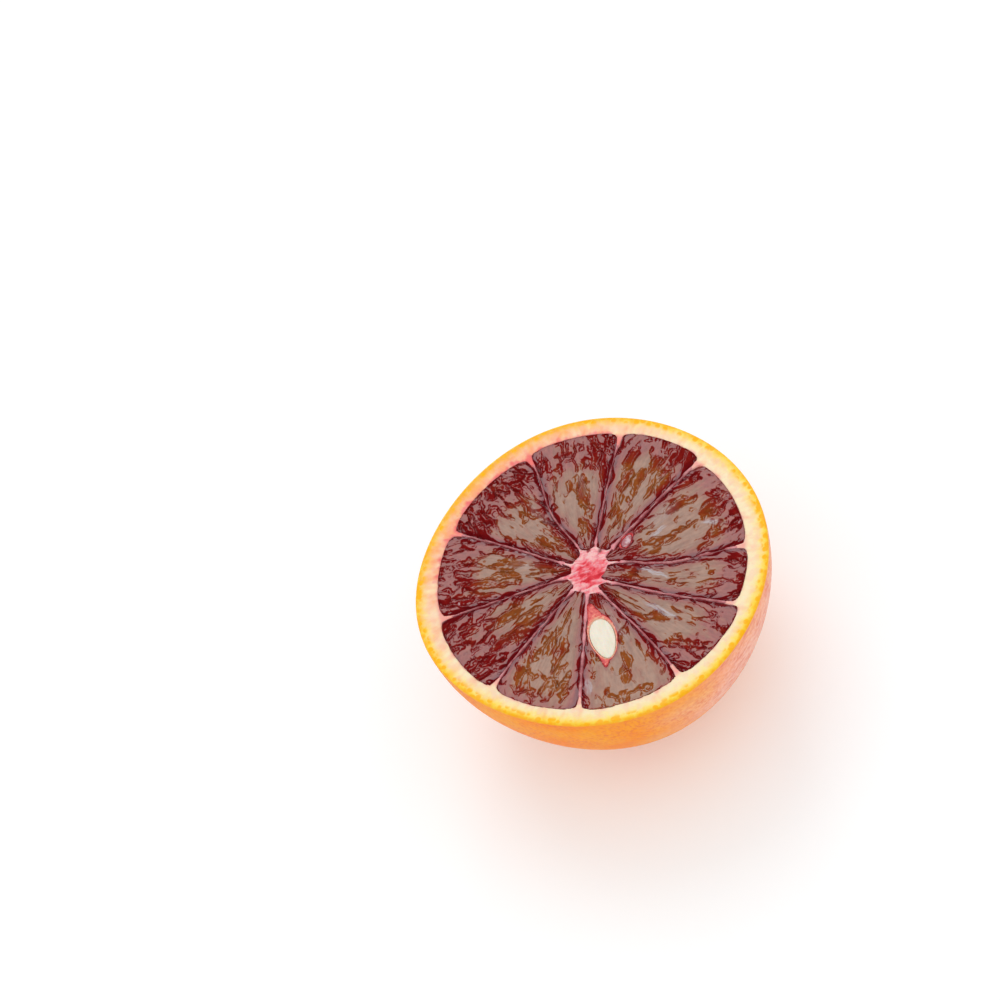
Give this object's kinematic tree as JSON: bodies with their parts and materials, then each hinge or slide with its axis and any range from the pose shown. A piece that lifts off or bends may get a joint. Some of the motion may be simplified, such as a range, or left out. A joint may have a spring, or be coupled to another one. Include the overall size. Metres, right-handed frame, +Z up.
{
  "type": "blood orange half",
  "caption": "Half a blood orange lying on its rind with the cut face up: yellow-orange rind, pale pith, dark red pulp segments, pink core and ivory seeds.",
  "frame": {"origin": "on the surface it rests on, under the middle of the fruit", "axes": "+Z up and out of the cut face; -Y is the side that faced the camera, +X to the right of it"},
  "size_m": [0.0736, 0.0736, 0.0377],
  "materials": {
    "rind_and_pith": "satin",
    "pulp": "gloss",
    "seed": "satin"
  },
  "bodies": {
    "root": {"rind_and_pith": "rind_and_pith", "segment_01": "pulp", "segment_02": "pulp", "segment_03": "pulp", "segment_04": "pulp", "segment_05": "pulp", "segment_06": "pulp", "segment_07": "pulp", "segment_08": "pulp", "segment_09": "pulp", "segment_10": "pulp", "seed_large": "seed", "seed_small": "seed"}
  },
  "joints": []
}
